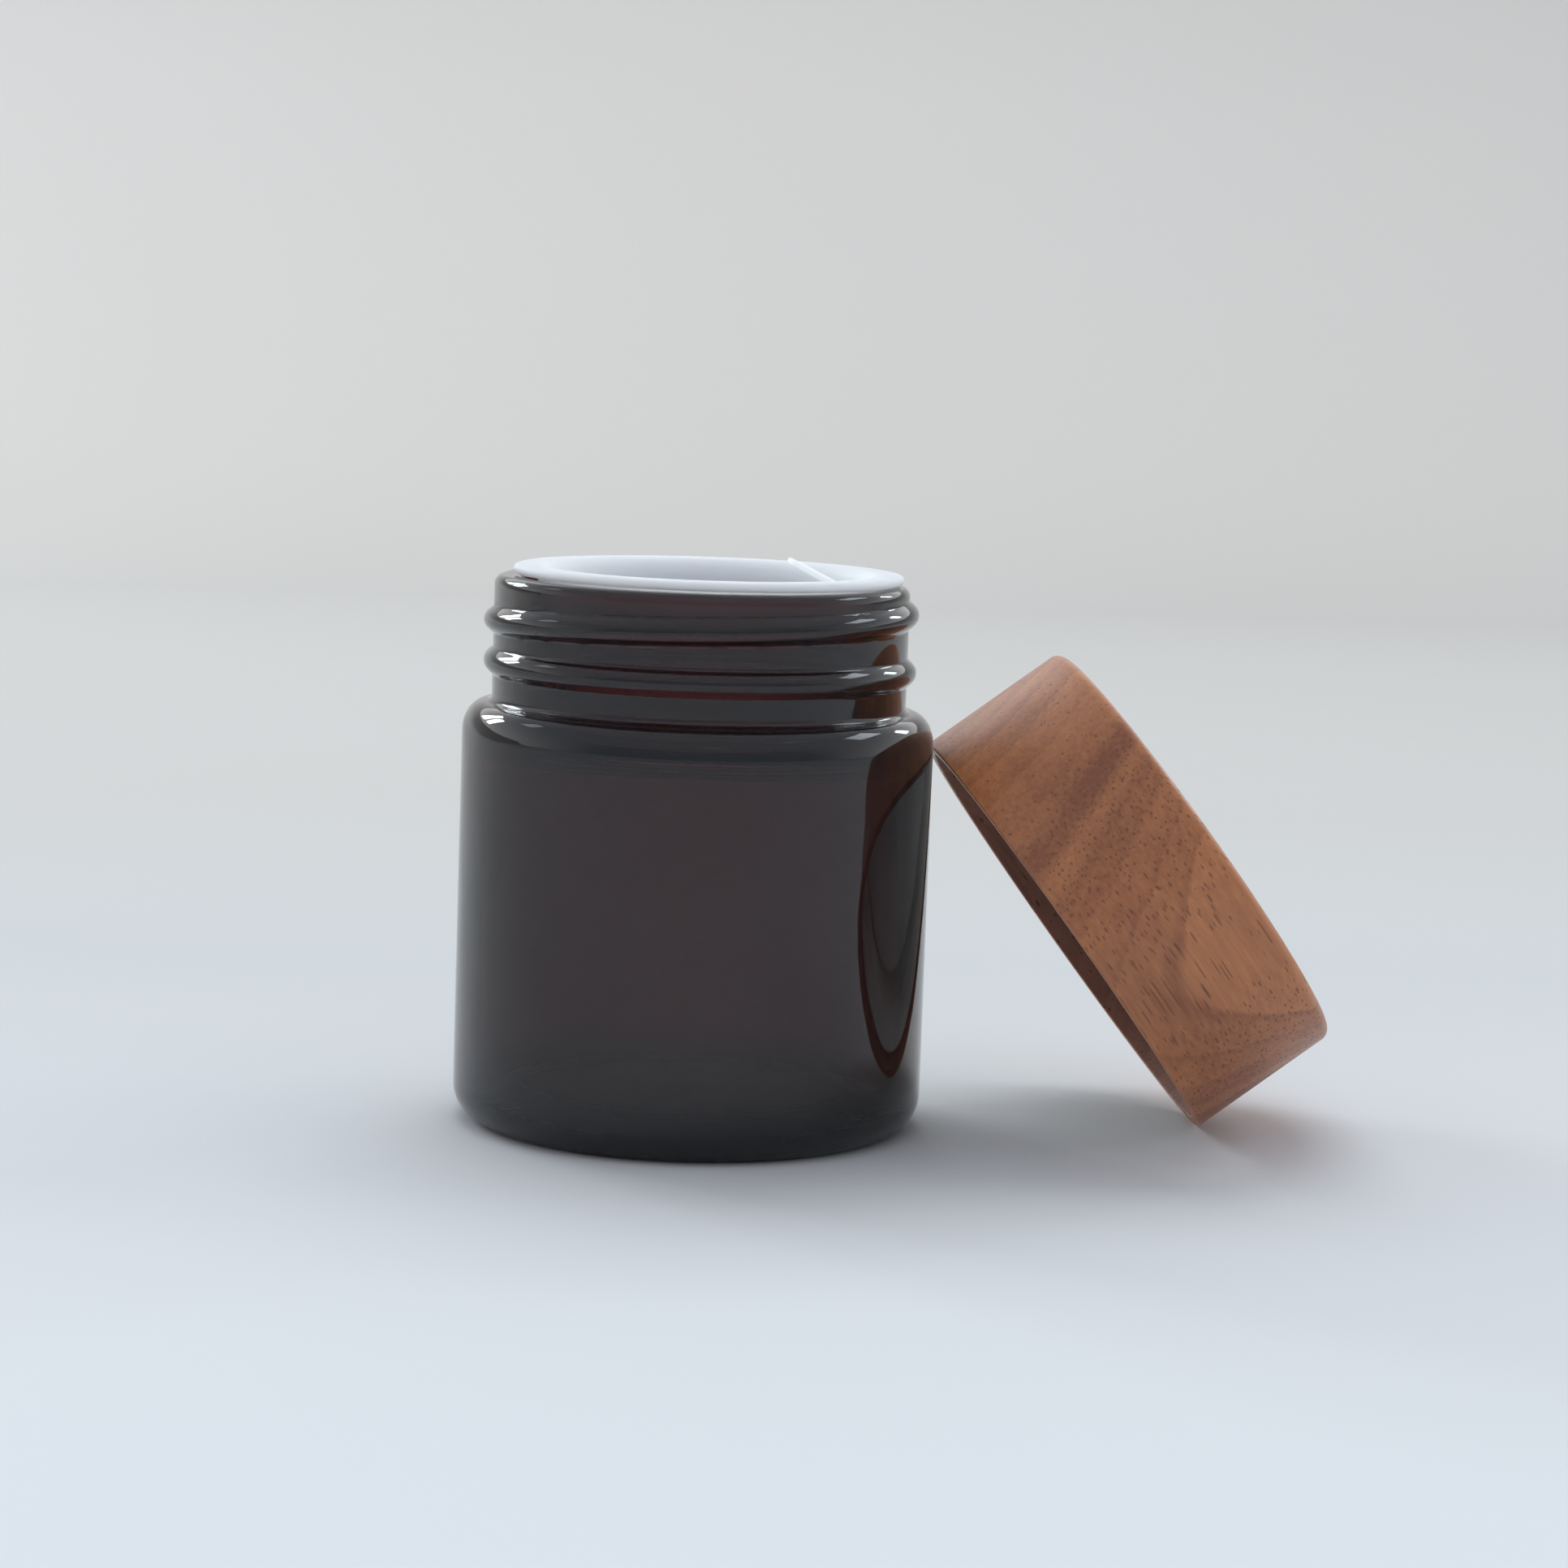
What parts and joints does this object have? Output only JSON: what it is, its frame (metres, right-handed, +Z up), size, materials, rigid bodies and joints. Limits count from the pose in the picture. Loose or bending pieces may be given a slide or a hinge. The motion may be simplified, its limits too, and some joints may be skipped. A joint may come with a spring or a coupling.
{
  "type": "empty candle jar",
  "caption": "Straight-sided amber glass screw jar for a candle, with a white inner seal with pull tab in its mouth and a turned wooden screw lid leaning on its side.",
  "frame": {"origin": "middle of the footprint of the jar with its lid leaning beside it, on the surface that both stand on", "axes": "+Z up, along the jar's axis; +X from the jar towards the leaning lid, across the tab's open side; +Y to the back"},
  "size_m": [0.115, 0.065, 0.074],
  "materials": {
    "amber_glass": "dark amber, fire-polished, glossy",
    "seal_plastic": "white polyethylene, satin moulded",
    "lid_wood": "reddish-brown wood with dark pores, satin varnish",
    "insert_plastic": "natural polypropylene, moulded",
    "liner_foam": "white expanded polyethylene foam"
  },
  "bodies": {
    "jar": {"glass_jar": "amber_glass"},
    "seal": {"seal_disc": "seal_plastic"},
    "tab": {"pull_tab": "seal_plastic"},
    "lid": {"wood_lid_shell": "lid_wood", "lid_thread_insert": "insert_plastic", "lid_liner": "liner_foam"}
  },
  "joints": [
    {"name": "seal_lift", "type": "slide", "parent": "jar", "child": "seal", "axis": [0, 0, 1], "range_m": [0, 0.03]},
    {"name": "tab_fold", "type": "hinge", "parent": "seal", "child": "tab", "pos_m": [-0.00769, -0.00335, 0.06945], "axis": [0.0698, 0.9976, 0], "range_deg": [-26.5, 62.5], "stiffness_Nm_per_rad": 0.00005, "springref_deg": 2.29},
    {"name": "lid_tip", "type": "hinge", "parent": "jar", "child": "lid", "pos_m": [0.04099, 0.00165, 0.00025], "axis": [0, 1, 0], "range_deg": [0, 36.78]}
  ]
}
